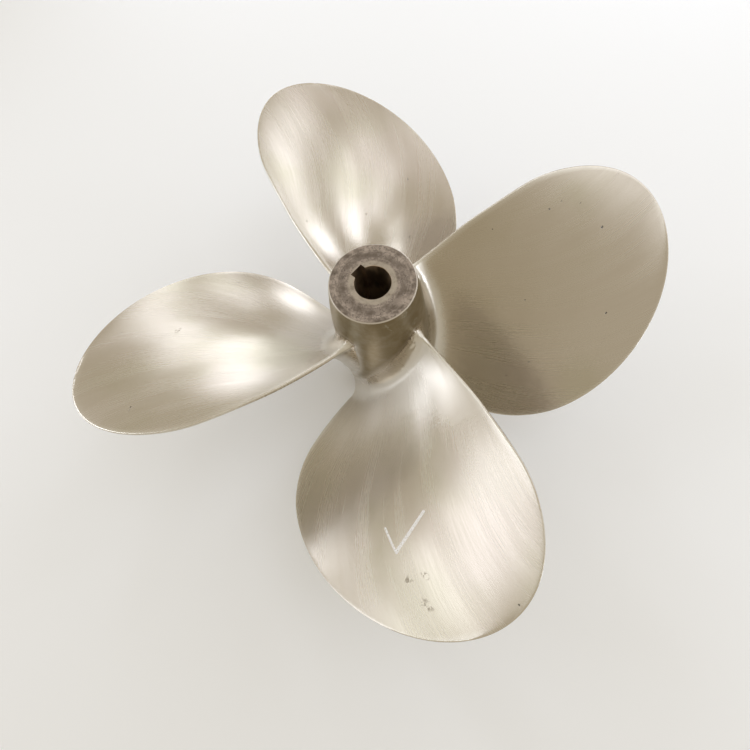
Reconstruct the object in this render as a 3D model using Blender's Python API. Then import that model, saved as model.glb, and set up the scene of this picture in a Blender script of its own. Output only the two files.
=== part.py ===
# Four-bladed fixed-pitch ship propeller: one casting, standing on the forward end of its hub.
# Metres, +Z up along the shaft axis, origin at the middle of the hub's forward end face,
# +X along the line from which the first blade is generated.
import math

import bmesh
import bpy
from mathutils import Vector

# Driving dimensions
DIAMETER = 1.200
RADIUS = DIAMETER / 2
BLADES = 4
PITCH = 1.05 * DIAMETER
RAKE = math.radians(20.0)

# Hub: it stands on its wide forward end and rounds in to the narrow aft end
HUB_LENGTH = 0.484
HUB_FORWARD_RADIUS = 0.1060
HUB_AFT_RADIUS = 0.0834
HUB_SHOULDER_POWER = 3.9
HUB_ROOT_RADIUS = 0.1020
HUB_CHAMFER = 0.0020
BORE_AFT_RADIUS = 0.0350
BORE_TAPER = 1 / 15
BORE_CHAMFER = 0.0015
KEYWAY_WIDTH = 0.0280
KEYWAY_DEPTH = 0.0080
KEYWAY_ANGLE = math.radians(135.5)
KEYWAY_OVERRUN = 0.020

# Blade: a right-handed helicoid, its generator line leaving the axis at GENERATOR_HEIGHT
GENERATOR_HEIGHT = 0.170
ROOT_HALF_CHORD = 0.318 * RADIUS
WIDEST_HALF_CHORD = 0.432 * RADIUS
ROOT_STATION = 0.150 * RADIUS
WIDEST_STATION = 0.675 * RADIUS
TIP_FULLNESS = 1.85
SKEW_START = 0.510 * RADIUS
TIP_SKEW = math.radians(11.8)
SKEW_POWER = 1.6
ROOT_THICKNESS = 0.046
TIP_THICKNESS = 0.0045
ROOT_EDGE_THICKNESS = 0.0100
TIP_EDGE_THICKNESS = 0.0040
FILLET_RADIUS = 0.038
FILLET_START = 0.0022
LEADING_FILLET_SHARE = 1.10
TRAILING_FILLET_SHARE = 0.25
BACK_FILLET_SHARE = 1.60
FILLET_FADE_POWER = 3
BACK_FILLET_FADE_POWER = 4
THICKEST_POINT = -0.20
LEADING_BACK_POWER = 2.0
TRAILING_BACK_POWER = 1.6
TRAILING_BACK_SHARPNESS = 1.25
HUB_FOLLOW_SPAN = 0.16 * RADIUS

# Fineness of the mesh
TURNED_STEPS = 64
HUB_PROFILE_STEPS = 10
CHORD_STEPS = 14
NOSE_STEPS = 4
FILLET_HEIGHTS = (FILLET_START, 0.006, 0.012, 0.020, 0.029, FILLET_RADIUS)
SPAN_STEPS = 19
TIP_STOP = 0.985
EMBED_ROWS = ((0.018, 0.0), (0.0045, 0.0035))

BRONZE = {"color": (0.72, 0.67, 0.57, 1.0), "roughness": 0.28, "metallic": 1.0}


def clear_scene():
    for old in list(bpy.data.objects):
        bpy.data.objects.remove(old)


def bronze_material():
    material = bpy.data.materials.new("cast_bronze")
    material.use_nodes = True
    shader = material.node_tree.nodes["Principled BSDF"]
    shader.inputs["Base Color"].default_value = BRONZE["color"]
    shader.inputs["Roughness"].default_value = BRONZE["roughness"]
    shader.inputs["Metallic"].default_value = BRONZE["metallic"]
    return material


def object_from(bm, name, material):
    bmesh.ops.recalc_face_normals(bm, faces=bm.faces)
    mesh = bpy.data.meshes.new(name)
    bm.to_mesh(mesh)
    bm.free()
    mesh.materials.append(material)
    made = bpy.data.objects.new(name, mesh)
    bpy.context.scene.collection.objects.link(made)
    return made


def hub_radius(z):
    """Outer radius of the hub at height z: nearly straight, then rounding in to the aft end."""
    along = min(max(z / HUB_LENGTH, 0.0), 1.0)
    return HUB_FORWARD_RADIUS - (HUB_FORWARD_RADIUS - HUB_AFT_RADIUS) * along**HUB_SHOULDER_POWER


def bore_radius(z):
    """Radius of the tapered bore, narrow at the aft end."""
    return BORE_AFT_RADIUS + (HUB_LENGTH - z) * BORE_TAPER / 2


def hub_profile():
    """Half section of the hub as (radius, height), from the forward bore edge up the outside and back."""
    outside = []
    for step in range(HUB_PROFILE_STEPS + 1):
        z = HUB_CHAMFER + (HUB_LENGTH - 2 * HUB_CHAMFER) * step / HUB_PROFILE_STEPS
        outside.append((hub_radius(z), z))
    forward_bore = bore_radius(0)
    return [
        (forward_bore + BORE_CHAMFER, 0.0),
        (hub_radius(0) - HUB_CHAMFER, 0.0),
        *outside,
        (hub_radius(HUB_LENGTH) - HUB_CHAMFER, HUB_LENGTH),
        (BORE_AFT_RADIUS + BORE_CHAMFER, HUB_LENGTH),
        (BORE_AFT_RADIUS, HUB_LENGTH - BORE_CHAMFER),
        (forward_bore, BORE_CHAMFER),
    ]


def make_hub(material):
    bm = bmesh.new()
    ring = [bm.verts.new((radius, 0.0, z)) for radius, z in hub_profile()]
    edges = [bm.edges.new((a, b)) for a, b in zip(ring, ring[1:] + ring[:1])]
    bmesh.ops.spin(
        bm,
        geom=ring + edges,
        cent=(0, 0, 0),
        axis=(0, 0, 1),
        angle=math.tau,
        steps=TURNED_STEPS,
        use_merge=True,
    )
    bmesh.ops.remove_doubles(bm, verts=bm.verts, dist=1e-6)
    return object_from(bm, "propeller", material)


def make_keyway_cutter(material):
    """A bar through the bore at the taper's slope, its outer face KEYWAY_DEPTH beyond the wall."""
    bm = bmesh.new()
    bmesh.ops.create_cube(bm, size=1.0)
    half_width = KEYWAY_WIDTH / 2
    for vert in bm.verts:
        z = HUB_LENGTH + KEYWAY_OVERRUN if vert.co.z > 0 else -KEYWAY_OVERRUN
        reach = bore_radius(z) + KEYWAY_DEPTH if vert.co.x > 0 else 0.0
        vert.co = Vector((reach, math.copysign(half_width, vert.co.y), z))
    cutter = object_from(bm, "keyway_cutter", material)
    cutter.rotation_euler.z = KEYWAY_ANGLE
    return cutter


def half_chord(r):
    """Half the blade's width at radius r: a soft waist at the root and a full, round tip."""
    if r < WIDEST_STATION:
        along = max(r - ROOT_STATION, 0.0) / (WIDEST_STATION - ROOT_STATION)
        swell = math.sin(along * math.pi / 2) ** 2
        return ROOT_HALF_CHORD + (WIDEST_HALF_CHORD - ROOT_HALF_CHORD) * swell
    along = min((r - WIDEST_STATION) / (RADIUS - WIDEST_STATION), 1.0)
    return WIDEST_HALF_CHORD * math.sqrt(1 - along**TIP_FULLNESS)


def skew_angle(r):
    """How far the middle of the chord lags, turning aft along the helix."""
    along = max(r - SKEW_START, 0.0) / (RADIUS - SKEW_START)
    return TIP_SKEW * along**SKEW_POWER


def from_root_to_tip(r, root_value, tip_value):
    along = min(max((r - ROOT_STATION) / (RADIUS - ROOT_STATION), 0.0), 1.0)
    return root_value + (tip_value - root_value) * along


def blade_point(r, s, n):
    """Point at radius r, a distance s along the chord towards the trailing edge and n off the face."""
    pitch_angle = math.atan2(PITCH, math.tau * r)
    skew = skew_angle(r)
    turn = skew + (s * math.cos(pitch_angle) - n * math.sin(pitch_angle)) / r
    z = GENERATOR_HEIGHT + r * math.tan(RAKE) + skew * PITCH / math.tau
    z += s * math.sin(pitch_angle) + n * math.cos(pitch_angle)
    return Vector((r * math.cos(turn), r * math.sin(turn), z))


def nose_points(radius, count):
    """Points round the outside of a half-round nose as (reach, rise), its two ends left out."""
    turns = [math.pi * step / count - math.pi / 2 for step in range(1, count)]
    return [(radius * math.cos(turn), radius * math.sin(turn)) for turn in turns]


def section_fullness(x):
    """Share of the full thickness at x, from -1 at the leading edge to 1 at the trailing edge."""
    if x < THICKEST_POINT:
        away = (THICKEST_POINT - x) / (1 + THICKEST_POINT)
        return 1 - away**LEADING_BACK_POWER
    away = (x - THICKEST_POINT) / (1 - THICKEST_POINT)
    return (1 - away**TRAILING_BACK_POWER) ** TRAILING_BACK_SHARPNESS


def section_points(r, offset):
    """One closed section as (s, n): flat face, round trailing edge, cambered back, round leading edge.

    The root fillet stands off the face, the back and the leading edge by offset, and off the
    trailing edge by a share of it.
    """
    thickness = from_root_to_tip(r, ROOT_THICKNESS, TIP_THICKNESS)
    edge = from_root_to_tip(r, ROOT_EDGE_THICKNESS, TIP_EDGE_THICKNESS)
    flat = max(half_chord(r) - edge / 2, edge / 4)
    face, back = [], []
    for step in range(CHORD_STEPS + 1):
        x = 2 * step / CHORD_STEPS - 1
        share = TRAILING_FILLET_SHARE if x > 0 else LEADING_FILLET_SHARE
        stand_off = offset * (1 - (1 - share) * abs(x) ** FILLET_FADE_POWER)
        back_share = 1 + (BACK_FILLET_SHARE - 1) * (1 - x**BACK_FILLET_FADE_POWER)
        belly = edge + max(thickness - edge, 0.0) * section_fullness(x)
        face.append((x * flat, stand_off))
        back.append((x * flat, -belly - stand_off * back_share))
    trailing = nose_points(edge / 2 + offset * TRAILING_FILLET_SHARE, NOSE_STEPS)
    leading = nose_points(edge / 2 + offset * LEADING_FILLET_SHARE, NOSE_STEPS)
    trailing = [(flat + reach, rise - edge / 2) for reach, rise in trailing[::-1]]
    leading = [(-flat - reach, rise - edge / 2) for reach, rise in leading]
    return face + trailing + back[::-1] + leading


def fillet_offset(height):
    """How far the root fillet stands off the blade at this height over the hub."""
    left = max(FILLET_RADIUS - height, 0.0)
    return FILLET_RADIUS - math.sqrt(FILLET_RADIUS**2 - left**2)


def hub_radius_under(s):
    """Hub radius where the root chord's point s meets it."""
    z = blade_point(HUB_ROOT_RADIUS, s, -ROOT_THICKNESS / 2).z
    return hub_radius(z)


def blade_rows():
    """(height over the hub, offset) of each row: up the fillet, then out to the tip."""
    rows = [(height, fillet_offset(height)) for height in FILLET_HEIGHTS]
    root = HUB_ROOT_RADIUS + FILLET_RADIUS
    for step in range(1, SPAN_STEPS + 1):
        left = 1 - TIP_STOP * step / SPAN_STEPS
        r = RADIUS - (RADIUS - root) * left**2
        rows.append((r - HUB_ROOT_RADIUS, 0.0))
    return rows


def row_points(height, offset):
    nominal = HUB_ROOT_RADIUS + height
    follow = 1 - min(max(height / HUB_FOLLOW_SPAN, 0.0), 1.0)
    follow = follow * follow * (3 - 2 * follow)
    points = []
    for s, n in section_points(nominal, offset):
        r = nominal + (hub_radius_under(s) - HUB_ROOT_RADIUS) * follow
        points.append(blade_point(r, s, n))
    return points


def embedded_rows(foot):
    """The fillet's foot carried on into the hub: outwards along the slope first, then straight in."""
    middle = sum(foot, Vector()) / len(foot)
    rows = []
    for depth, spread in EMBED_ROWS:
        row = []
        for point in foot:
            radial = Vector((point.x, point.y, 0)).normalized()
            sideways = (point - middle) - radial * (point - middle).dot(radial)
            row.append(point - radial * depth + sideways.normalized() * spread)
        rows.append(row)
    return rows


def make_blade(name, angle, material):
    bm = bmesh.new()
    rows = [row_points(*row) for row in blade_rows()]
    rows = embedded_rows(rows[0]) + rows
    rings = [[bm.verts.new(point) for point in row] for row in rows]
    for lower, upper in zip(rings, rings[1:]):
        for i in range(len(lower)):
            j = (i + 1) % len(lower)
            bm.faces.new((lower[i], lower[j], upper[j], upper[i]))
    bm.faces.new(rings[0])
    bm.faces.new(rings[-1])
    blade = object_from(bm, name, material)
    blade.rotation_euler.z = angle
    return blade


def apply_boolean(target, other, operation):
    modifier = target.modifiers.new(f"{operation.lower()}_{other.name}", "BOOLEAN")
    modifier.operation = operation
    modifier.solver = "EXACT"
    modifier.object = other
    other.hide_render = True
    other.display_type = "WIRE"


def main():
    clear_scene()
    bronze = bronze_material()
    propeller = make_hub(bronze)
    for number in range(BLADES):
        angle = math.tau * number / BLADES
        blade = make_blade(f"blade_form_{number + 1}", angle, bronze)
        apply_boolean(propeller, blade, "UNION")
    apply_boolean(propeller, make_keyway_cutter(bronze), "DIFFERENCE")
    propeller.data.shade_smooth()
    propeller.data.set_sharp_from_angle(angle=math.radians(35))


main()
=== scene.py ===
# %% [markdown]
# # A ship's propeller, dressed for its picture
# A fixed-pitch propeller is poured in one go: four broad blades and the hub that carries them
# are one casting of pale bronze. The foundry grinds the blades by hand along their length, which
# leaves a soft satin with long brush marks, and turns the two ends of the hub in a lathe.
# The frame holds the true shape as a plain solid. This script makes the same shape again with a
# much finer skin, so that it can carry round edges, smooth fillets and the waves of hand work.

# %% The frame
import math

import bpy
import numpy as np
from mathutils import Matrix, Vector, kdtree, noise


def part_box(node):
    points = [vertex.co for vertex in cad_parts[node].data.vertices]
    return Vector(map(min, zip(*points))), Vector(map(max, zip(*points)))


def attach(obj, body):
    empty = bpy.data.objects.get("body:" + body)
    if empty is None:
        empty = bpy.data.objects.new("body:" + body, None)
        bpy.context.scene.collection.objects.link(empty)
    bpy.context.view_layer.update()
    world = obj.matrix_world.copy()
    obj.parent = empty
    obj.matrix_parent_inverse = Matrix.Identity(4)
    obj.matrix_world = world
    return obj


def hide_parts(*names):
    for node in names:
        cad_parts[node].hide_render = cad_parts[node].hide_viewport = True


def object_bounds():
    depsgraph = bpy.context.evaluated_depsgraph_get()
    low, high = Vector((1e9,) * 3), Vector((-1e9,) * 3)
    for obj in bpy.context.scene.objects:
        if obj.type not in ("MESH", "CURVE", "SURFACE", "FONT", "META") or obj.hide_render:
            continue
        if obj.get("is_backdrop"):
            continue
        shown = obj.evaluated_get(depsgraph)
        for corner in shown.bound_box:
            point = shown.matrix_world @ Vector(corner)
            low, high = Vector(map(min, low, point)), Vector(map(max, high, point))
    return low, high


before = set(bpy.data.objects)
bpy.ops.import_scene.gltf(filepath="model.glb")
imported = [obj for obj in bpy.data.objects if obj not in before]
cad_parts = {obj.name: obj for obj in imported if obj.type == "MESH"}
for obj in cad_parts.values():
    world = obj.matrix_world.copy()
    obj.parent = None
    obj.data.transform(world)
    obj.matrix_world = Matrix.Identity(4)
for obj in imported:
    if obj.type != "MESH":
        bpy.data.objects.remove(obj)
cad_low, cad_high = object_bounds()
low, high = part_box("propeller")
print("the casting is", [round(side * 1000) for side in high - low], "mm over all")

# %% [markdown]
# ## Driving dimensions
# Every size of the casting follows from its diameter, its pitch, which is how far one turn would
# carry it through the water, and its rake, which is how far the blades lean aft. The hub's
# length comes from the frame.

# %% Sizes of the casting, in metres
RADIUS = 0.600
BLADES = 4
PITCH = 1.05 * 2 * RADIUS
RAKE = math.radians(20.0)
HUB_LENGTH = round(high.z - low.z, 4)
HUB_FORWARD_RADIUS = 0.1060
HUB_AFT_RADIUS = 0.0834
HUB_SHOULDER_POWER = 3.9
HUB_ROOT_RADIUS = 0.1020
print("hub", HUB_LENGTH, "m long; one turn of the screw advances", round(PITCH, 3), "m")

# %% [markdown]
# ## The hub
# A hub is turned, so it could be a profile spun round the axis. Here it is drawn the way a potter
# pulls a wall: one circle is extruded ring by ring up the outside and widened or narrowed each
# time, then in over the end face and down the tapered bore. The rings stay even, and even
# rings join the blades cleanly later.


# %% Outline of the hub
def hub_radius(z):
    """Outer radius of the hub at height z: nearly straight, then rounding in to the aft end."""
    along = min(max(z / HUB_LENGTH, 0.0), 1.0)
    return HUB_FORWARD_RADIUS - (HUB_FORWARD_RADIUS - HUB_AFT_RADIUS) * along**HUB_SHOULDER_POWER


BORE_AFT_RADIUS = 0.0350
BORE_TAPER = 1 / 15
BORE_CHAMFER = 0.0008
HUB_CHAMFER = 0.0020
WALL_RINGS = 108
BORE_RINGS = 12


def bore_radius(z):
    """Radius of the tapered bore, narrow at the aft end."""
    return BORE_AFT_RADIUS + (HUB_LENGTH - z) * BORE_TAPER / 2


def hub_outline():
    """The half section as (radius, height), from the forward end's rim up, in and down the bore."""
    points = [(hub_radius(0) - HUB_CHAMFER, 0.0)]
    for ring in range(WALL_RINGS + 1):
        z = HUB_CHAMFER + (HUB_LENGTH - 2 * HUB_CHAMFER) * ring / WALL_RINGS
        points.append((hub_radius(z), z))
    points.append((HUB_AFT_RADIUS - HUB_CHAMFER, HUB_LENGTH))
    points.append((BORE_AFT_RADIUS + BORE_CHAMFER, HUB_LENGTH))
    for ring in range(BORE_RINGS + 1):
        z = HUB_LENGTH - BORE_CHAMFER - (HUB_LENGTH - 2 * BORE_CHAMFER) * ring / BORE_RINGS
        points.append((bore_radius(z), z))
    points.append((bore_radius(0) + BORE_CHAMFER, 0.0))
    return points


print("the hub's outline has", len(hub_outline()), "points")

# %% Pull the hub up from one circle
HUB_SIDES = 216
MERGE_DISTANCE = 0.00001


def deselect_all():
    bpy.ops.object.select_all(action="DESELECT")


def make_hub():
    outline = hub_outline()
    deselect_all()
    bpy.ops.mesh.primitive_circle_add(vertices=HUB_SIDES, radius=outline[0][0])
    made = bpy.context.object
    bpy.ops.object.mode_set(mode="EDIT")
    bpy.ops.mesh.select_all(action="SELECT")
    for (radius, z), (next_radius, next_z) in zip(outline, outline[1:]):
        bpy.ops.mesh.extrude_region_move(TRANSFORM_OT_translate={"value": (0, 0, next_z - z)})
        grow = next_radius / radius
        bpy.ops.transform.resize(value=(grow, grow, 1), center_override=(0, 0, next_z))
    bpy.ops.mesh.select_all(action="SELECT")
    bpy.ops.mesh.remove_doubles(threshold=MERGE_DISTANCE)
    bpy.ops.object.mode_set(mode="OBJECT")
    return made


def close_forward_end(hub):
    """Bridge the bore's foot to the rim's foot, which makes the flat end that the hub stands on."""
    bpy.ops.object.mode_set(mode="EDIT")
    bpy.ops.mesh.select_all(action="DESELECT")
    bpy.ops.mesh.select_mode(type="EDGE")
    bpy.ops.mesh.select_non_manifold()
    bpy.ops.mesh.bridge_edge_loops()
    bpy.ops.mesh.select_all(action="SELECT")
    bpy.ops.mesh.normals_make_consistent(inside=False)
    bpy.ops.object.mode_set(mode="OBJECT")


casting = make_hub()
casting.name = "propeller_casting"
close_forward_end(casting)
print("the hub has", len(casting.data.polygons), "faces")

# %% [markdown]
# ## The shape of a blade
# A propeller blade is a piece of a screw thread. At each radius its face lies along a helix, and
# the helices of all radii share one pitch. The outline swells from a narrow root to a round tip
# that sweeps back, and the back bulges like a wing. All of that is a rule with three inputs:
# the distance out from the axis, the distance across the chord, and the distance off the face.

# %% Outline, sweep and thickness
GENERATOR_HEIGHT = 0.170
ROOT_HALF_CHORD = 0.318 * RADIUS
WIDEST_HALF_CHORD = 0.432 * RADIUS
ROOT_STATION = 0.150 * RADIUS
WIDEST_STATION = 0.675 * RADIUS
TIP_FULLNESS = 1.85
SKEW_START = 0.510 * RADIUS
TIP_SKEW = math.radians(11.8)
SKEW_POWER = 1.6
ROOT_THICKNESS, TIP_THICKNESS = 0.046, 0.0045
ROOT_EDGE, TIP_EDGE = 0.0100, 0.0040


def half_chord(r):
    """Half the blade's width at radius r: a soft waist at the root and a full, round tip."""
    if r < WIDEST_STATION:
        along = max(r - ROOT_STATION, 0.0) / (WIDEST_STATION - ROOT_STATION)
        swell = math.sin(along * math.pi / 2) ** 2
        return ROOT_HALF_CHORD + (WIDEST_HALF_CHORD - ROOT_HALF_CHORD) * swell
    along = min((r - WIDEST_STATION) / (RADIUS - WIDEST_STATION), 1.0)
    return WIDEST_HALF_CHORD * math.sqrt(max(1 - along**TIP_FULLNESS, 0.0))


def skew_angle(r):
    """How far the middle of the chord lags, turning aft along the helix."""
    along = np.maximum(r - SKEW_START, 0.0) / (RADIUS - SKEW_START)
    return TIP_SKEW * along**SKEW_POWER


def from_root_to_tip(r, root_value, tip_value):
    along = min(max((r - ROOT_STATION) / (RADIUS - ROOT_STATION), 0.0), 1.0)
    return root_value + (tip_value - root_value) * along


def blade_point(r, s, n):
    """Point at radius r, a distance s along the chord towards the trailing edge and n off the face."""
    pitch_angle = math.atan2(PITCH, math.tau * r)
    skew = float(skew_angle(r))
    turn = skew + (s * math.cos(pitch_angle) - n * math.sin(pitch_angle)) / r
    z = GENERATOR_HEIGHT + r * math.tan(RAKE) + skew * PITCH / math.tau
    z += s * math.sin(pitch_angle) + n * math.cos(pitch_angle)
    return Vector((r * math.cos(turn), r * math.sin(turn), z))


THICKEST_POINT = -0.20
LEADING_BACK_POWER = 2.0
TRAILING_BACK_POWER = 1.6
TRAILING_BACK_SHARPNESS = 1.25


def section_fullness(x):
    """Share of the full thickness at x, from -1 at the leading edge to 1 at the trailing edge."""
    if x < THICKEST_POINT:
        away = (THICKEST_POINT - x) / (1 + THICKEST_POINT)
        return 1 - away**LEADING_BACK_POWER
    away = (x - THICKEST_POINT) / (1 - THICKEST_POINT)
    return (1 - away**TRAILING_BACK_POWER) ** TRAILING_BACK_SHARPNESS


print("widest chord", round(2000 * WIDEST_HALF_CHORD), "mm, at", WIDEST_STATION, "m out")

# %% [markdown]
# ## Rows from the hub to the tip
# The skin of a blade is drawn as a grid. Its columns run across the chord and its rows run out
# from the hub. The first rows hide inside the hub, the next ones climb the fillet that
# softens the root, and the rest thin out towards the tip, where they crowd together so that the
# round outline stays round.

# %% The rows of the grid
FILLET_RADIUS = 0.038
FILLET_START = 0.0006
FILLET_ROWS = 15
FILLET_CROWDING = 1.7
SPAN_ROWS = 58
TIP_STOP = 0.992
HUB_FOLLOW_SPAN = 0.16 * RADIUS
EMBED_ROWS = ((0.016, 0.0), (0.0040, 0.0050))


def fillet_offset(height):
    """How far the root fillet stands off the blade at this height over the hub."""
    left = max(FILLET_RADIUS - height, 0.0)
    return FILLET_RADIUS - math.sqrt(FILLET_RADIUS**2 - left**2)


def blade_rows():
    """(height over the hub, fillet offset) of each row that shows."""
    rows = []
    for step in range(FILLET_ROWS):
        share = (step / (FILLET_ROWS - 1)) ** FILLET_CROWDING
        height = FILLET_START + (FILLET_RADIUS - FILLET_START) * share
        rows.append((height, fillet_offset(height)))
    root = HUB_ROOT_RADIUS + FILLET_RADIUS
    for step in range(1, SPAN_ROWS + 1):
        left = 1 - TIP_STOP * step / SPAN_ROWS
        r = RADIUS - (RADIUS - root) * left**2
        rows.append((r - HUB_ROOT_RADIUS, 0.0))
    return rows


ROWS = blade_rows()
print(len(ROWS), "rows show, and", len(EMBED_ROWS), "more are inside the hub")

# %% [markdown]
# ## From a flat grid to a blade
# The grid starts as a flat sheet, x across the chord and y out along the span. Extruding it once
# gives it a back, one unit above, and the walls round the rim are cut into strips. Then every
# vertex goes to its place by the blade's rule. On the rim, x and y say where on the outline the
# vertex is, and z how far it has come round the half-round edge from the face to the back.

# %% The flat sheet, its back and its rim
CHORD_CELLS = 46
NOSE_CELLS = 8


def flat_sheet():
    """A grid with a back and a rim, x and y from -1 to 1 and z from 0 to 1."""
    deselect_all()
    row_cells = len(ROWS) + len(EMBED_ROWS) - 1
    bpy.ops.mesh.primitive_grid_add(x_subdivisions=CHORD_CELLS, y_subdivisions=row_cells, size=2)
    sheet = bpy.context.object
    bpy.ops.object.mode_set(mode="EDIT")
    bpy.ops.mesh.select_all(action="SELECT")
    bpy.ops.mesh.extrude_region_move(TRANSFORM_OT_translate={"value": (0, 0, 1)})
    bpy.ops.mesh.select_all(action="DESELECT")
    bpy.ops.object.mode_set(mode="OBJECT")
    for edge in sheet.data.edges:
        ends = [sheet.data.vertices[i].co.z for i in edge.vertices]
        edge.select = abs(ends[0] - ends[1]) > 0.5
    bpy.ops.object.mode_set(mode="EDIT")
    bpy.ops.mesh.select_mode(type="EDGE")
    bpy.ops.mesh.subdivide(number_cuts=NOSE_CELLS - 1)
    bpy.ops.object.mode_set(mode="OBJECT")
    return sheet


print("the sheet has", len(ROWS) + len(EMBED_ROWS), "rows of vertices and is", CHORD_CELLS, "cells wide")

# %% [markdown]
# ## The rim
# A blade's edge is ground by eye, square enough to be strong and round enough not to cut the
# hands that sling it. The rim follows the outline, so at each point it needs to know which way
# is outwards. It is drawn as a half circle whose corners are pushed out towards a square.

# %% Where the edge points
SLOPE_STEP = 0.0001
EDGE_SQUARENESS = 0.55


def outward(r, x):
    """Direction (across, along) that the rim faces at radius r, for x from -1 to 1."""
    slope = (half_chord(r + SLOPE_STEP) - half_chord(r - SLOPE_STEP)) / (2 * SLOPE_STEP)
    if r + SLOPE_STEP >= RADIUS:
        slope = (half_chord(r) - half_chord(r - SLOPE_STEP)) / SLOPE_STEP
    length = math.hypot(1, slope)
    across, along = x / length, -slope / length
    size = math.hypot(across, along) or 1.0
    return across / size, along / size


def round_edge(depth):
    """(reach, rise) round an edge ground nearly square, for depth from the face, 0, to the back, 1."""
    turn = math.pi * depth
    rise = math.copysign(abs(math.cos(turn)) ** EDGE_SQUARENESS, math.cos(turn))
    return abs(math.sin(turn)) ** EDGE_SQUARENESS, rise


print("half way round, the edge stands out by", round_edge(0.5)[0], "of its half thickness")

# %% [markdown]
# ## Waves of hand grinding
# A hand-ground blade isn't true. Its skin rises and falls by about a millimetre over a hand's
# breadth, which is too little to see in the outline but bends every reflection. A smooth noise,
# a little longer out along the blade than across it, gives each face and back waves of its own.

# %% The waves
WAVE_HEIGHT = 0.0018
WAVE_ACROSS = 9.0
WAVE_ALONG = 6.0
WAVE_SEED_STEP = 7.3
WAVE_BACK_STEP = 3


def grinding_wave(r, s, seed):
    """How far the ground skin stands off the true face, between plus and minus WAVE_HEIGHT."""
    place = Vector((s * WAVE_ACROSS, r * WAVE_ALONG, seed))
    return WAVE_HEIGHT * noise.noise(place)


wave_seeds = [WAVE_SEED_STEP * (k + 1) for k in range(BLADES)]
wave_sizes = [round(1000 * grinding_wave(WIDEST_STATION, 0.0, seed), 2) for seed in wave_seeds]
print("waves at the widest place of each blade:", wave_sizes, "mm")

# %% [markdown]
# ## The blade's skin
# With the rule, the rows, the rim and the waves at hand, each vertex of the sheet can go to its
# place. The fillet is wide along the face and the back, full at the leading edge, and fades
# towards the thin trailing edge. The first rows are then sunk into the hub, so that the union has
# something to bite on.

# %% Each vertex to its place
LEADING_FILLET_SHARE = 1.10
TRAILING_FILLET_SHARE = 0.25
BACK_FILLET_SHARE = 1.60
FILLET_FADE_POWER = 3
BACK_FILLET_FADE_POWER = 4
ON_RIM = 0.9999


def hub_radius_under(s):
    """Hub radius where the root chord's point s meets it."""
    return hub_radius(blade_point(HUB_ROOT_RADIUS, s, -ROOT_THICKNESS / 2).z)


def skin_point(row, x, depth, blade_number):
    """Place of the grid's vertex: row counts out from the hub, depth goes from face to back."""
    height, offset = ROWS[max(row, 0)]
    nominal = HUB_ROOT_RADIUS + height
    thickness = from_root_to_tip(nominal, ROOT_THICKNESS, TIP_THICKNESS)
    edge = from_root_to_tip(nominal, ROOT_EDGE, TIP_EDGE)
    nose = edge / 2
    side, out = outward(nominal, math.copysign(1, x))
    half_width = max(half_chord(nominal) - nose * abs(side), 0.0)
    s = x * half_width
    r_sheet = nominal - nose * out
    share = TRAILING_FILLET_SHARE if x > 0 else LEADING_FILLET_SHARE
    stand_off = offset * (1 - (1 - share) * abs(x) ** FILLET_FADE_POWER)
    back_share = 1 + (BACK_FILLET_SHARE - 1) * (1 - x**BACK_FILLET_FADE_POWER)
    belly = edge + max(thickness - edge, 0.0) * section_fullness(x)
    fade = (1 - abs(x) ** 2) * min(height / FILLET_RADIUS, 1.0) ** 2
    seed = WAVE_SEED_STEP * blade_number
    face = stand_off + fade * grinding_wave(nominal, s, seed)
    back = -belly - stand_off * back_share + fade * grinding_wave(nominal, s, seed + WAVE_BACK_STEP)
    n = face + (back - face) * depth
    on_side, on_tip = abs(x) > ON_RIM, row == len(ROWS) - 1
    if on_side or on_tip:
        reach, rise = round_edge(depth)
        reach *= nose + (offset * share if on_side else 0.0)
        across, along = outward(nominal, x)
        s += across * reach
        r_sheet += along * reach
        n = (face + back) / 2 + (face - back) / 2 * rise
    follow = 1 - min(max(height / HUB_FOLLOW_SPAN, 0.0), 1.0)
    follow = follow * follow * (3 - 2 * follow)
    r = r_sheet + (hub_radius_under(s) - HUB_ROOT_RADIUS) * follow
    return blade_point(r, s, n)


def sink(point, middle, depth, spread):
    """Carry a point of the fillet's foot on into the hub."""
    radial = Vector((point.x, point.y, 0)).normalized()
    sideways = (point - middle) - radial * (point - middle).dot(radial)
    return point - radial * depth + sideways.normalized() * spread


def make_blade(number):
    blade = flat_sheet()
    blade.name = f"blade_{number}"
    first = len(EMBED_ROWS)
    last = len(ROWS) + first - 1
    middle = skin_point(0, 0.0, 0.5, number)
    for vertex in blade.data.vertices:
        x, y, depth = vertex.co
        row = round((y + 1) / 2 * last) - first
        point = skin_point(row, x, depth, number)
        if row < 0:
            point = sink(point, middle, *EMBED_ROWS[row + first])
        vertex.co = point
    deselect_all()
    blade.select_set(True)
    bpy.context.view_layer.objects.active = blade
    bpy.ops.object.mode_set(mode="EDIT")
    bpy.ops.mesh.select_all(action="SELECT")
    bpy.ops.mesh.remove_doubles(threshold=MERGE_DISTANCE)
    bpy.ops.mesh.normals_make_consistent(inside=False)
    bpy.ops.object.mode_set(mode="OBJECT")
    blade.rotation_euler.z = math.tau * (number - 1) / BLADES
    bpy.ops.object.transform_apply(location=True, rotation=True, scale=True)
    return blade


blades = [make_blade(number + 1) for number in range(BLADES)]
print("each blade has", len(blades[0].data.polygons), "faces")

# %% [markdown]
# ## One casting
# The blades and the hub are poured together in one mould. Here each was made on its own, because
# that keeps their grids even, so they are now joined by Boolean unions. The exact solver leaves
# one closed skin with nothing inside it.


# %% Join and cut
def cut_or_join(target, other, operation):
    modifier = target.modifiers.new(operation.lower(), "BOOLEAN")
    modifier.operation = operation
    modifier.solver = "EXACT"
    modifier.object = other
    deselect_all()
    target.select_set(True)
    bpy.context.view_layer.objects.active = target
    bpy.ops.object.modifier_apply(modifier=modifier.name)
    bpy.data.objects.remove(other)


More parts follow.
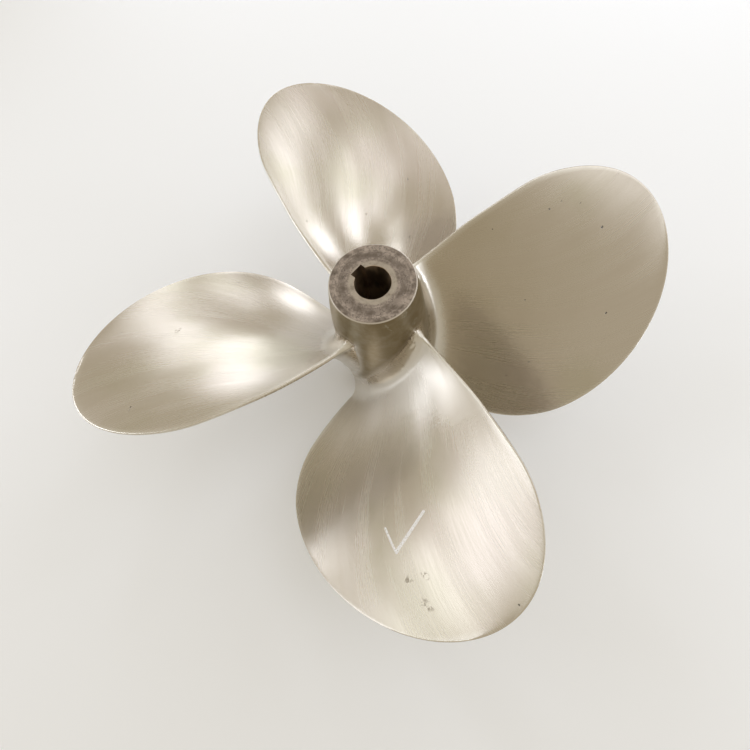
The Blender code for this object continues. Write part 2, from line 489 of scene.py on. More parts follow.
for blade in blades:
    cut_or_join(casting, blade, "UNION")
print("the joined casting has", len(casting.data.polygons), "faces")

# %% [markdown]
# ## The keyway
# A key locks the propeller to its shaft. Its slot is cut with a slotting tool along the tapered
# wall of the bore, so it is as deep at one end as at the other. A bar with the bore's slope is
# taken away from the casting by a Boolean difference.

# %% Cut the keyway
KEYWAY_WIDTH = 0.0280
KEYWAY_DEPTH = 0.0080
KEYWAY_ANGLE = math.radians(135.5)
KEYWAY_OVERRUN = 0.020


def keyway_cutter():
    """A bar through the bore at the taper's slope, its outer face KEYWAY_DEPTH beyond the wall."""
    deselect_all()
    bpy.ops.mesh.primitive_cube_add(size=1)
    bar = bpy.context.object
    for vertex in bar.data.vertices:
        up, out = vertex.co.z > 0, vertex.co.x > 0
        z = HUB_LENGTH + KEYWAY_OVERRUN if up else -KEYWAY_OVERRUN
        reach = bore_radius(z) + KEYWAY_DEPTH if out else 0.0
        vertex.co = (reach, math.copysign(KEYWAY_WIDTH / 2, vertex.co.y), z)
    bar.rotation_euler.z = KEYWAY_ANGLE
    return bar


cut_or_join(casting, keyway_cutter(), "DIFFERENCE")
triangles = sum(len(face.vertices) - 2 for face in casting.data.polygons)
print("with its keyway the casting has", triangles, "triangles")

# %% [markdown]
# ## Seams and the standing face
# A union leaves a hard line where a fillet runs into the hub. On the casting a fettler blends it
# with a small grinder. Here the vertices near the line are gathered into a group, by their height
# over the hub's wall, and a Smooth modifier eases only those. The facing cut on the forward end
# then trims the foot of each blade flush with it.

# %% Ease the seams
SEAM_STEPS = 4
SEAM_PASSES = 8
ON_WALL = 0.00008
OFF_WALL = 0.00025


def vertex_places(mesh):
    places = np.empty(len(mesh.vertices) * 3)
    mesh.vertices.foreach_get("co", places)
    return places.reshape(-1, 3)


def heights_over_hub(places):
    wall = np.array([hub_radius(z) for z in places[:, 2]])
    return np.hypot(places[:, 0], places[:, 1]) - wall


def seam_vertices(mesh):
    """Vertices within a few steps of the lines where the blades' fillets run into the hub."""
    places = vertex_places(mesh)
    height = heights_over_hub(places)
    ends = np.empty(len(mesh.edges) * 2, dtype=int)
    mesh.edges.foreach_get("vertices", ends)
    ends = ends.reshape(-1, 2)
    touching = np.abs(height[ends]).min(axis=1) < ON_WALL
    leaving = height[ends].max(axis=1) > OFF_WALL
    near = np.zeros(len(places), dtype=bool)
    near[ends[touching & leaving].ravel()] = True
    for _ in range(SEAM_STEPS):
        near[ends[near[ends].any(axis=1)].ravel()] = True
    near &= height > -ON_WALL
    near &= np.minimum(places[:, 2], HUB_LENGTH - places[:, 2]) > 2 * HUB_CHAMFER
    return np.flatnonzero(near)


def ease_seams(made):
    eased = seam_vertices(made.data)
    made.vertex_groups.new(name="seam").add(eased.tolist(), 1.0, "REPLACE")
    modifier = made.modifiers.new("ease", "SMOOTH")
    modifier.vertex_group = "seam"
    modifier.iterations = SEAM_PASSES
    bpy.ops.object.modifier_apply(modifier=modifier.name)
    return len(eased)


def face_off(mesh):
    """Bring what hangs below the forward end face up to it, as a facing cut would."""
    places = vertex_places(mesh)
    hanging = places[:, 2] < 0
    places[hanging, 2] = 0.0
    mesh.vertices.foreach_set("co", places.ravel())
    mesh.update()
    return np.count_nonzero(hanging)


print("vertices eased along the seams:", ease_seams(casting))
print("vertices trimmed at the forward face:", face_off(casting.data))

# %% [markdown]
# ## Where each point lies on its blade
# The brush marks, the pits and the chalk follow the blades, so the finish has to know where on a
# blade it is. The blade's rule can be run backwards: a point's radius gives the pitch angle there,
# and turning it back by the sweep gives how far it is across the chord and off the face. These
# numbers are kept on the mesh as attributes, which materials read as they read a position.

# %% Run the blade's rule backwards
EASE_DISTANCE = 0.030
RIM_WIDTH = 0.012
FAN_SPREAD = 0.18
FAN_SIZE = 0.26
GRAIN_SLANT = 0.32
BACK_STEP = 0.5
FOOT_HEIGHT = 0.001


def blade_places(points):
    """Arrays of (blade number, across, along, off the face), each point on the blade it is nearest."""
    x, y, z = points.T
    r = np.hypot(x, y)
    pitch_angle = np.arctan2(PITCH, math.tau * r)
    skew = skew_angle(r)
    rise = z - GENERATOR_HEIGHT - r * math.tan(RAKE) - skew * PITCH / math.tau
    nearest = np.full(len(r), np.inf)
    found = np.zeros((4, len(r)))
    for number in range(BLADES):
        turn = np.arctan2(y, x) - math.tau * number / BLADES - skew
        turn = (turn + math.pi) % math.tau - math.pi
        s = r * turn * np.cos(pitch_angle) + rise * np.sin(pitch_angle)
        n = rise * np.cos(pitch_angle) - r * turn * np.sin(pitch_angle)
        closer = np.abs(n + TIP_EDGE) < nearest
        nearest[closer] = np.abs(n + TIP_EDGE)[closer]
        found[:, closer] = np.array([np.full(len(r), number + 1.0), s, r, n])[:, closer]
    return found


def smooth_step(value, low_end, high_end):
    share = np.clip((value - low_end) / (high_end - low_end), 0, 1)
    return share * share * (3 - 2 * share)


def distance_to_blades(places, height):
    """How far each point is from the foot of the nearest blade."""
    foot = places[(height > FOOT_HEIGHT) & (height < 4 * FOOT_HEIGHT)]
    tree = kdtree.KDTree(len(foot))
    for index, place in enumerate(foot):
        tree.insert(place, index)
    tree.balance()
    away = np.zeros(len(places))
    for index in np.flatnonzero(height < FOOT_HEIGHT):
        away[index] = tree.find(places[index])[2]
    return away


def keep_attribute(mesh, name, values):
    kind = "FLOAT_VECTOR" if values.ndim == 2 else "FLOAT"
    kept = mesh.attributes.new(name, kind, "POINT")
    kept.data.foreach_set("vector" if values.ndim == 2 else "value", values.astype(np.float32).ravel())


points = vertex_places(casting.data)
number, across, along, off_face = blade_places(points)
height = heights_over_hub(points)
hub_share = 1 - smooth_step(height, 0.0, EASE_DISTANCE)
outline = np.array([half_chord(r) for r in along])
rim_share = 1 - np.clip(np.minimum(outline - np.abs(across), RADIUS - along) / RIM_WIDTH, 0, 1)
rim_share *= 1 - hub_share
blade_away = distance_to_blades(points, height)
side = number + BACK_STEP * (off_face < -TIP_EDGE / 2)
fan = (ROOT_HALF_CHORD + (along - HUB_ROOT_RADIUS) * FAN_SPREAD) / FAN_SIZE
slanted = across + GRAIN_SLANT * (along - HUB_ROOT_RADIUS)
keep_attribute(casting.data, "place", np.stack([across, along, side], axis=1))
keep_attribute(casting.data, "grain", np.stack([slanted / fan, along, side], axis=1))
keep_attribute(casting.data, "hub", hub_share)
keep_attribute(casting.data, "height", height)
keep_attribute(casting.data, "away", blade_away)
keep_attribute(casting.data, "rim", rim_share)
print("vertices on each blade:", [int((number == k + 1).sum()) for k in range(BLADES)])

# %% [markdown]
# ## Left rough
# At the foot of each trailing edge there is no room for the grinder between two blades, so the
# skin of the casting is left as it came out of the sand. The vertices there are pushed in and out
# along their normals by a lumpy noise, most at the middle of the patch and not at all at its rim.

# %% Lumps at the foot of each trailing edge
ROUGH_CENTRE = (0.100, 0.172, -0.004)
ROUGH_REACH = 0.040
ROUGH_HEIGHT = 0.0042
ROUGH_GRAIN = 105.0
SMOOTH_ANGLE = math.radians(35)


def turned(point, angle):
    """The point, turned about the shaft."""
    cosine, sine = math.cos(angle), math.sin(angle)
    return Vector((point.x * cosine - point.y * sine, point.x * sine + point.y * cosine, point.z))


def roughen(mesh):
    moved = 0
    for k in range(BLADES):
        middle = turned(blade_point(*ROUGH_CENTRE), math.tau * k / BLADES)
        for vertex in mesh.vertices:
            away = (vertex.co - middle).length / ROUGH_REACH
            if away < 1:
                lump = noise.fractal(vertex.co * ROUGH_GRAIN, 1.0, 2.0, 3)
                vertex.co += vertex.normal * (lump * ROUGH_HEIGHT * (1 - away * away) ** 2)
                moved += 1
    return moved


print("vertices left rough:", roughen(casting.data))
bpy.ops.object.shade_smooth_by_angle(angle=SMOOTH_ANGLE)

# %% [markdown]
# ## How a material is written here
# Materials are grown node by node. One helper adds a node and connects what feeds it, and a few
# short ones stand for the nodes that are used most: noise, a change of range, a mix of colours,
# simple sums and relief. With them a material reads like a recipe, one coat after another.


# %% Helpers for nodes
MIX_FACTOR, MIX_A, MIX_B, MIX_RESULT = 0, 6, 7, 2


def add_node(tree, kind, feeds=None, **settings):
    made = tree.nodes.new(kind)
    for name, value in settings.items():
        setattr(made, name, value)
    for name, value in (feeds or {}).items():
        if isinstance(value, bpy.types.NodeSocket):
            tree.links.new(value, made.inputs[name])
        else:
            made.inputs[name].default_value = value
    return made


def sum_of(tree, operation, first, second=0.0, clamp=False):
    made = add_node(tree, "ShaderNodeMath", {0: first, 1: second}, operation=operation)
    made.use_clamp = clamp
    return made.outputs[0]


def vector_sum(tree, operation, first, second=(0, 0, 0)):
    made = add_node(tree, "ShaderNodeVectorMath", {0: first, 1: second}, operation=operation)
    return made.outputs["Value" if operation in ("LENGTH", "DISTANCE", "DOT_PRODUCT") else "Vector"]


def noise_on(tree, place, stretch, detail=2.0, roughness=0.5):
    """Cloudy noise from 0 to 1; stretch is how many blobs fit in a metre each way."""
    spread = vector_sum(tree, "MULTIPLY", place, stretch)
    feeds = {"Vector": spread, "Scale": 1.0, "Detail": detail, "Roughness": roughness}
    return add_node(tree, "ShaderNodeTexNoise", feeds).outputs[0]


def between(tree, value, low_end, high_end, to_low=0.0, to_high=1.0):
    """Carry low_end to high_end over to to_low to to_high, softly, and stop at both ends."""
    feeds = {"Value": value, "From Min": low_end, "From Max": high_end}
    feeds |= {"To Min": to_low, "To Max": to_high}
    return add_node(tree, "ShaderNodeMapRange", feeds, interpolation_type="SMOOTHSTEP").outputs[0]


def mix_colours(tree, share, first, second):
    """The first colour where share is 0, and the second where it is 1."""
    feeds = {MIX_FACTOR: share, MIX_A: first, MIX_B: second}
    return add_node(tree, "ShaderNodeMix", feeds, data_type="RGBA").outputs[MIX_RESULT]


def product_of(tree, first, *others):
    """All the shares multiplied together."""
    for other in others:
        first = sum_of(tree, "MULTIPLY", first, other)
    return first


def attribute_of(tree, name, output="Vector"):
    return add_node(tree, "ShaderNodeAttribute", attribute_name=name).outputs[output]


def bump(tree, height, depth, below=None):
    """Relief on top of the relief below: depth is in metres, from height 0 to height 1."""
    feeds = {"Height": height, "Strength": 1.0, "Distance": depth}
    if below is not None:
        feeds["Normal"] = below
    return add_node(tree, "ShaderNodeBump", feeds).outputs["Normal"]


def new_material(name):
    made = bpy.data.materials.new(name)
    made.use_nodes = True
    return made, made.node_tree, made.node_tree.nodes["Principled BSDF"]


print("a new node of each kind can now be added in one line")

# %% [markdown]
# ## Ground bronze
# The blades aren't polished. A grinder was drawn along them by hand, from the hub to the tip, so
# the skin is full of long fine grooves. Over the bare metal lie a faint bloom of olive and pink,
# a few casting pits that the grinder opened, stains, and a fitter's chalk tick. Each of these is
# a colour and a mask that says where it is, and the masks read the attributes made above.

# %% Colours of the bronze, and what the material reads
CHAMPAGNE = (0.58, 0.530, 0.460, 1)
OLIVE = (0.52, 0.480, 0.385, 1)
ROSE = (0.58, 0.515, 0.455, 1)
# This colour is also the painted shade on one blade's face, further down.
TARNISH_AND_SHADE = (0.42, 0.36, 0.265, 1)
HUB_OLIVE = (0.300, 0.250, 0.160, 1)
# This pale colour also paints the highlight up each fillet, further down.
FRESH_GROUND_AND_HIGHLIGHT = (0.74, 0.71, 0.64, 1)
PALE_SCALE = (0.55, 0.53, 0.44, 1)
PIT_DARK = (0.09, 0.075, 0.06, 1)
STAIN_BROWN = (0.24, 0.20, 0.15, 1)
CHALK_WHITE = (0.90, 0.90, 0.92, 1)

bronze, tree, shader = new_material("ground_bronze")
place = attribute_of(tree, "place")
grain = attribute_of(tree, "grain")
hub_mask = attribute_of(tree, "hub", "Fac")
rim_mask = attribute_of(tree, "rim", "Fac")
over_hub = attribute_of(tree, "height", "Fac")
off_foot = attribute_of(tree, "away", "Fac")
solid = add_node(tree, "ShaderNodeTexCoord").outputs["Object"]
print("the bronze reads", sum(node.type == "ATTRIBUTE" for node in tree.nodes), "attributes")

# %% [markdown]
# ## Pits and stains
# The grinder opens a few pores of the casting, which stay as small dark holes, and drips leave
# brown stains with ragged rims. Each mark is written down as its blade, its place across and
# along that blade, and its radius. The distance from the mark's middle then gives a round spot,
# and a fine noise breaks up the stains.

# %% Pits and stains
PITS = (
    (1, 0.089, 0.493, 0.0031),
    (1, 0.187, 0.415, 0.0022),
    (1, 0.187, 0.442, 0.0013),
    (1, 0.160, 0.472, 0.0014),
    (1, 0.198, 0.299, 0.0013),
    (1, 0.028, 0.321, 0.0016),
    (1, -0.079, 0.475, 0.0023),
    (1, -0.117, 0.337, 0.0019),
    (1, -0.141, 0.298, 0.0024),
    (2, -0.114, 0.410, 0.0024),
    (2, 0.198, 0.265, 0.0018),
    (2, 0.029, 0.294, 0.0018),
    (2, -0.098, 0.281, 0.0022),
    (3, -0.209, 0.396, 0.0016),
    (3, -0.072, 0.545, 0.0014),
    (3, 0.153, 0.502, 0.0016),
    (4, 0.101, 0.575, 0.0016),
    (4, -0.218, 0.453, 0.0014),
)
STAINS = (
    (4, -0.032, 0.511, 0.011),
    (4, 0.001, 0.506, 0.009),
    (4, -0.027, 0.546, 0.013),
    (3, -0.031, 0.445, 0.009),
    (3, 0.160, 0.500, 0.008),
)
PIT_SOFTNESS, STAIN_SOFTNESS = 0.35, 0.2
STAIN_STRENGTH = 0.8


def spots(tree, place, marks, softness):
    """1 on any of the marks, which are (blade, across, along, radius), and 0 away from them."""
    covered = None
    for blade, s, r, radius in marks:
        away = vector_sum(tree, "DISTANCE", place, (s, r, blade))
        mark = between(tree, away, radius * softness, radius, 1.0, 0.0)
        covered = mark if covered is None else sum_of(tree, "MAXIMUM", covered, mark)
    return covered


pit_mask = spots(tree, place, PITS, PIT_SOFTNESS)
crumbs = noise_on(tree, solid, (150, 150, 150), 4.0, 0.65)
ragged = product_of(tree, between(tree, crumbs, 0.50, 0.60), STAIN_STRENGTH)
stain_mask = product_of(tree, spots(tree, place, STAINS, STAIN_SOFTNESS), ragged)
print(len(PITS), "pits and", len(STAINS), "stains")

# %% [markdown]
# ## A chalk tick
# A fitter ticks the blade that has been checked. Chalk is a dry powder that only catches on the
# high spots, so the stroke breaks up into crumbs. A stroke could be a thin mesh laid on the
# blade, but it has no thickness to speak of, so it is a mask: all that lies near a straight line
# between two places on the blade.

# %% The chalk tick
CHALK_BLADE = 4
CHALK_WIDTH = 0.0056
CHALK_STROKES = (
    ((-0.034, 0.426), (-0.030, 0.466)),
    ((-0.030, 0.466), (0.054, 0.405)),
)


def away_from_line(tree, place, start, end):
    """Distance from the straight line between two points."""
    run = Vector(end) - Vector(start)
    offset = vector_sum(tree, "SUBTRACT", place, start)
    share = vector_sum(tree, "DOT_PRODUCT", offset, run / run.length_squared)
    share = sum_of(tree, "ADD", share, 0.0, clamp=True)
    spot = add_node(tree, "ShaderNodeVectorMath", {0: run, "Scale": share}, operation="SCALE")
    return vector_sum(tree, "DISTANCE", offset, spot.outputs["Vector"])


def chalk_mask(tree, place):
    covered = None
    for start, end in CHALK_STROKES:
        away = away_from_line(tree, place, (*start, CHALK_BLADE), (*end, CHALK_BLADE))
        stroke = between(tree, away, CHALK_WIDTH * 0.25, CHALK_WIDTH * 0.6, 1.0, 0.0)
        covered = stroke if covered is None else sum_of(tree, "MAXIMUM", covered, stroke)
    crumbs = noise_on(tree, place, (420, 420, 1), 4.0, 0.7)
    return product_of(tree, covered, between(tree, crumbs, 0.36, 0.56, 0.15, 0.95))


chalk = chalk_mask(tree, place)
print(len(CHALK_STROKES), "strokes of chalk on blade", CHALK_BLADE)

# %% [markdown]
# ## Dressed roots, and painted highlights on the fillets
# A long grinder can't follow the curve of a fillet, so the roots are dressed with a small coarse
# wheel, which leaves them rougher and marked across. The pale band up each fillet is also painted
# highlight, the bright line that a fillet catches, and it is painted stronger on one blade than on
# the others. On another blade the wheel has run on up the face and left a paler patch. The band
# follows the height over the hub, the patch a slanting line across the blade, and noise makes both of
# them ragged.

# %% Where the roots were dressed and the fillet highlights painted
BAND_STRENGTH = 0.6
BRIGHT_ROOT_BLADE, STRONG_SHARE = 3, 0.6
PATCH_BLADE, PATCH_STRENGTH = 4, 0.42
PATCH_SLOPE, PATCH_REACH, PATCH_FEATHER = 0.50, 0.205, 0.060


def on_blade(tree, side, blade):
    """1 on the face of one blade, 0 on its back and on the other blades."""
    above = between(tree, side, blade - 0.4, blade - 0.2)
    return product_of(tree, above, between(tree, side, blade + 0.2, blade + 0.4, 1.0, 0.0))


# Painted highlight: a pale band up each fillet, painted brighter on one blade.
def root_bands_and_highlights(tree, side, ragged_height):
    band = between(tree, ragged_height, 0.010, 0.020)
    band = product_of(tree, band, between(tree, ragged_height, 0.040, 0.060, 1.0, 0.0))
    brighter = product_of(tree, on_blade(tree, side, BRIGHT_ROOT_BLADE), STRONG_SHARE)
    return product_of(tree, band, sum_of(tree, "ADD", brighter, 1.0), BAND_STRENGTH)


def root_patch(tree, place, split, ragged_height):
    line = sum_of(tree, "SUBTRACT", split["Y"], product_of(tree, split["X"], PATCH_SLOPE))
    feather = product_of(tree, noise_on(tree, place, (9, 40, 1), 4.0, 0.7), 0.11)
    line = sum_of(tree, "ADD", line, feather)
    patch = between(tree, line, PATCH_REACH, PATCH_REACH + PATCH_FEATHER, PATCH_STRENGTH, 0.0)
    aft_half = between(tree, split["X"], -0.02, 0.06)
    off_hub = between(tree, ragged_height, 0.012, 0.020)
    return product_of(tree, patch, aft_half, on_blade(tree, split["Z"], PATCH_BLADE), off_hub)


split = add_node(tree, "ShaderNodeSeparateXYZ", {0: place}).outputs
wobble = product_of(tree, noise_on(tree, place, (30, 30, 1), 3.0, 0.6), 0.020)
ragged_height = sum_of(tree, "ADD", over_hub, wobble)
root_band_and_highlight = root_bands_and_highlights(tree, split["Z"], ragged_height)
dressed = sum_of(tree, "MAXIMUM", root_band_and_highlight, root_patch(tree, place, split, ragged_height))
print("one band is", 1 + STRONG_SHARE, "times as strong as the others")

# %% [markdown]
# ## Painted shade on one blade, and a darker shoulder
# The face of one blade is painted darker, most towards the root: this is painted shade, for the blade
# that the lamps leave dark. On another blade the leading shoulder is darker too. Clouds of noise are
# added to the radius first, so that neither of them ends on a circle.

# %% Where the painted shade and the darker shoulder are
PAINTED_SHADE_BLADE = 1
SHOULDER_BLADE = 4


# Painted shade: one blade's face is darkened towards the root, and blade 4's leading shoulder is darkened
# too.
def painted_shade_and_dark_shoulder(tree, place, split, over_hub):
    clouds = product_of(tree, noise_on(tree, place, (6, 6, 1), 3.0, 0.6), 0.15)
    reach = sum_of(tree, "ADD", split["Y"], clouds)
    face = between(tree, reach, 0.20, 0.58, 0.9, 0.1)
    face = product_of(tree, face, on_blade(tree, split["Z"], PAINTED_SHADE_BLADE))
    shoulder = between(tree, reach, 0.26, 0.50, 0.85, 0.0)
    leading = between(tree, split["X"], -0.13, -0.03, 1.0, 0.0)
    shoulder = product_of(tree, shoulder, leading, on_blade(tree, split["Z"], SHOULDER_BLADE))
    shade_and_dark_shoulder = sum_of(tree, "MAXIMUM", face, shoulder)
    return product_of(tree, shade_and_dark_shoulder, between(tree, over_hub, 0.025, 0.060))


shade_and_dark_shoulder = painted_shade_and_dark_shoulder(tree, place, split, over_hub)
print("the film is on blades", PAINTED_SHADE_BLADE, "and", SHOULDER_BLADE)

# %% [markdown]
# ## Splashes on the hub
# Something pale has run down the hub's side and dried: one thin run and a few patches beside it.
# They are placed in the casting's own coordinates, with the same line and the same distances as
# the marks on the blades, and a fine noise makes them crumbly.

# %% The splashes
PALE_RUN = ((0.018, -0.083, 0.473), (0.030, -0.086, 0.438))
PALE_RUN_WIDTH = 0.0030
PALE_PATCHES = (
    (0.056, -0.065, 0.471, 0.012),
    (0.074, -0.057, 0.420, 0.013),
    (0.066, -0.072, 0.392, 0.012),
)


def pale_marks(tree, solid):
    run = away_from_line(tree, solid, *PALE_RUN)
    marks = between(tree, run, PALE_RUN_WIDTH * 0.3, PALE_RUN_WIDTH, 1.0, 0.0)
    for x, y, z, radius in PALE_PATCHES:
        away = vector_sum(tree, "DISTANCE", solid, (x, y, z))
        marks = sum_of(tree, "MAXIMUM", marks, between(tree, away, radius * 0.2, radius, 1.0, 0.0))
    crumbs = noise_on(tree, solid, (190, 190, 190), 4.0, 0.65)
    return product_of(tree, marks, between(tree, crumbs, 0.42, 0.60))


splashes = pale_marks(tree, solid)
print("one run and", len(PALE_PATCHES), "patches of pale scale")

# %% [markdown]
# ## The colour of the bronze
# The colour is laid on like coats: the bare metal first, with its bloom, then the painted shade and
# the darker shoulder, the dressed roots with their painted highlight, and the hub's tarnish, and last
# what lies on top. The grain gives three noises, all stretched along the blade: broad bands, strokes of
# the wheel and fine scratches.

# %% Coats of colour
bands = noise_on(tree, grain, (26, 2.4, 3.1), 2.0)
strokes = noise_on(tree, grain, (95, 4.5, 5.3), 3.0, 0.6)
scratches = noise_on(tree, grain, (520, 14, 7.7), 3.0, 0.6)
bloom = noise_on(tree, solid, (4.2, 4.2, 4.2), 3.0)
blush = noise_on(tree, solid, (2.7, 2.7, 2.7), 2.0)
grime = noise_on(tree, solid, (38, 38, 38), 5.0, 0.65)
bare_foot = between(tree, off_foot, 0.003, 0.022)
hub_tarnish = product_of(tree, bare_foot, between(tree, grime, 0.30, 0.62, 0.72, 1.0))

colour = mix_colours(tree, between(tree, bloom, 0.42, 0.66), CHAMPAGNE, OLIVE)
colour = mix_colours(tree, between(tree, blush, 0.50, 0.68, 0.0, 0.7), colour, ROSE)
colour = mix_colours(tree, between(tree, strokes, 0.30, 0.70, 0.0, 0.06), colour, TARNISH_AND_SHADE)
# Painted shade: one blade's face and another blade's shoulder are darkened here.
colour = mix_colours(tree, shade_and_dark_shoulder, colour, TARNISH_AND_SHADE)
# Painted highlight: the pale band up each fillet stands for the bright line a fillet catches.
colour = mix_colours(tree, product_of(tree, dressed, 0.75), colour, FRESH_GROUND_AND_HIGHLIGHT)
colour = mix_colours(tree, hub_tarnish, colour, HUB_OLIVE)
colour = mix_colours(tree, product_of(tree, rim_mask, 0.5), colour, FRESH_GROUND_AND_HIGHLIGHT)
colour = mix_colours(tree, product_of(tree, splashes, 0.8), colour, PALE_SCALE)
colour = mix_colours(tree, stain_mask, colour, STAIN_BROWN)
colour = mix_colours(tree, pit_mask, colour, PIT_DARK)
colour = mix_colours(tree, chalk, colour, CHALK_WHITE)
tree.links.new(colour, shader.inputs["Base Color"])
print(sum(node.type == "MIX" for node in tree.nodes), "coats of colour")

# %% [markdown]
# ## The gloss of the bronze
# Ground metal is a satin mirror. Its fine grooves run along the blade and spread light across it,
# which an anisotropic gloss does, with its tangent running round the shaft. The hub, the dressed
# roots and the stains are rougher, and chalk isn't a metal at all.

# %% Roughness, metal and tangent
ANISOTROPY = 0.35

roughness = between(tree, scratches, 0.30, 0.70, 0.24, 0.28)
roughness = sum_of(tree, "ADD", roughness, between(tree, bands, 0.35, 0.65, -0.02, 0.02))
roughness = sum_of(tree, "ADD", roughness, product_of(tree, bare_foot, 0.12))
roughness = sum_of(tree, "ADD", roughness, product_of(tree, dressed, 0.08))
roughness = sum_of(tree, "ADD", roughness, product_of(tree, stain_mask, 0.25))
roughness = sum_of(tree, "MAXIMUM", roughness, product_of(tree, chalk, 0.9))
metal = sum_of(tree, "SUBTRACT", 1.0, product_of(tree, chalk, 0.95), clamp=True)
metal = sum_of(tree, "SUBTRACT", metal, product_of(tree, stain_mask, 0.5), clamp=True)
round_shaft = add_node(tree, "ShaderNodeTangent", direction_type="RADIAL", axis="Z").outputs[0]
tree.links.new(roughness, shader.inputs["Roughness"])
tree.links.new(metal, shader.inputs["Metallic"])
tree.links.new(round_shaft, shader.inputs["Tangent"])
shader.inputs["Anisotropic"].default_value = ANISOTROPY
print("the tangent runs round the shaft, with an anisotropy of", ANISOTROPY)

# %% [markdown]
# ## The relief of the bronze
# The last coat is relief. The bands where the wheel bit harder are less than a tenth of a
# millimetre deep, and its strokes and scratches far less. Marks lie across the dressed roots, the
# hub keeps a sandy skin from the mould, and the pits stand for hollows a millimetre or so deep.
# Each bump takes the relief below it as its normal, so that they add up.

# %% Coats of relief
BAND_DEPTH = 0.00007
STROKE_DEPTH = 0.0000045
SCRATCH_DEPTH = 0.0000007
SAND_DEPTH = 0.0007
CROSS_DEPTH = 0.00007
PIT_DEPTH = 0.0015

relief = bump(tree, bands, BAND_DEPTH)
relief = bump(tree, strokes, STROKE_DEPTH, relief)
relief = bump(tree, scratches, SCRATCH_DEPTH, relief)
relief = bump(tree, product_of(tree, grime, hub_mask), SAND_DEPTH, relief)
cross_marks = noise_on(tree, grain, (70, 210, 1), 2.0, 0.6)
relief = bump(tree, product_of(tree, cross_marks, dressed), CROSS_DEPTH, relief)
relief = bump(tree, sum_of(tree, "SUBTRACT", 1.0, pit_mask), PIT_DEPTH, relief)
tree.links.new(relief, shader.inputs["Normal"])
print("the ground bronze has", len(tree.nodes), "nodes")

# %% [markdown]
# ## Turned end faces
# The two ends of the hub were faced in a lathe and then left in a shed, so the bronze is dull:
# a pinkish grey oxide, mottled and finely cracked, with a darker ring where the tool dwelt. Round
# the bore the nut has rubbed it paler, and the corner at the rim is bare bright metal. All of it
# follows the distance from the axis, so that distance is worked out first.

# %% Colour of the end faces
OXIDE_PALE = (0.43, 0.362, 0.305, 1)
OXIDE_DARK = (0.155, 0.125, 0.100, 1)
CRACK_DARK = (0.07, 0.055, 0.045, 1)
RUBBED = (0.44, 0.385, 0.31, 1)
RUBBED_RADIUS = 0.0475
CORNER_RADIUS = HUB_AFT_RADIUS - HUB_CHAMFER
DWELL_INNER, DWELL_OUTER = (0.050, 0.056), (0.060, 0.070)
DWELL_STRENGTH = 0.45

faced, tree, shader = new_material("turned_end_face")
solid = add_node(tree, "ShaderNodeTexCoord").outputs["Object"]
radius = vector_sum(tree, "LENGTH", vector_sum(tree, "MULTIPLY", solid, (1, 1, 0)))
off_axis = add_node(tree, "ShaderNodeCombineXYZ", {0: radius}).outputs[0]
rings = noise_on(tree, off_axis, (260, 1, 1), 4.0, 0.6)
cloud = noise_on(tree, solid, (60, 60, 60), 5.0, 0.62)
speck = noise_on(tree, solid, (190, 190, 190), 3.0, 0.7)

mottle = sum_of(tree, "ADD", product_of(tree, cloud, 0.75), product_of(tree, rings, 0.25))
colour = mix_colours(tree, between(tree, mottle, 0.37, 0.61), OXIDE_DARK, OXIDE_PALE)
dwelt = between(tree, radius, *DWELL_INNER)
dwelt = product_of(tree, dwelt, between(tree, radius, *DWELL_OUTER, DWELL_STRENGTH, 0.0))
colour = mix_colours(tree, dwelt, colour, OXIDE_DARK)
wander = noise_on(tree, solid, (75, 75, 75), 4.0, 0.6)
off_crack = sum_of(tree, "ABSOLUTE", sum_of(tree, "SUBTRACT", wander, 0.5))
cracks = between(tree, off_crack, 0.0, 0.030, 1.0, 0.0)
cracks = product_of(tree, cracks, between(tree, cloud, 0.42, 0.55), 0.7)
colour = mix_colours(tree, cracks, colour, CRACK_DARK)
colour = mix_colours(tree, between(tree, speck, 0.62, 0.74, 0.0, 0.75), colour, CRACK_DARK)
rubbed = between(tree, radius, RUBBED_RADIUS - 0.004, RUBBED_RADIUS + 0.002, 1.0, 0.0)
rubbed = product_of(tree, rubbed, between(tree, cloud, 0.30, 0.60, 0.35, 0.85))
colour = mix_colours(tree, rubbed, colour, RUBBED)
corner = between(tree, radius, CORNER_RADIUS, CORNER_RADIUS + 0.0006)
colour = mix_colours(tree, corner, colour, CHAMPAGNE)
tree.links.new(colour, shader.inputs["Base Color"])
print(sum(node.type == "MIX" for node in tree.nodes), "coats of colour on the end faces")

# %% Relief and gloss of the end faces
CLOUD_DEPTH = 0.0009
RING_DEPTH = 0.00012
SPECK_DEPTH = 0.00022

relief = bump(tree, cloud, CLOUD_DEPTH)
relief = bump(tree, rings, RING_DEPTH, relief)
relief = bump(tree, speck, SPECK_DEPTH, relief)
tree.links.new(relief, shader.inputs["Normal"])
tree.links.new(between(tree, cloud, 0.3, 0.7, 0.42, 0.62), shader.inputs["Roughness"])
shader.inputs["Metallic"].default_value = 0.75
print("the end face has", len(tree.nodes), "nodes")

# %% [markdown]
# ## The bore
# The bore is turned to fit the shaft's taper, then greased, so it stays a metal brown with a dark
# film in patches. Its fine turns are a noise that changes quickly along the axis and hardly at all
# across it. Little light gets in, so pale colours are needed for it to show at all.

# %% The bore
BORE_BROWN = (0.62, 0.50, 0.37, 1)
BORE_DARK = (0.36, 0.28, 0.20, 1)
TURN_DEPTH = 0.00005

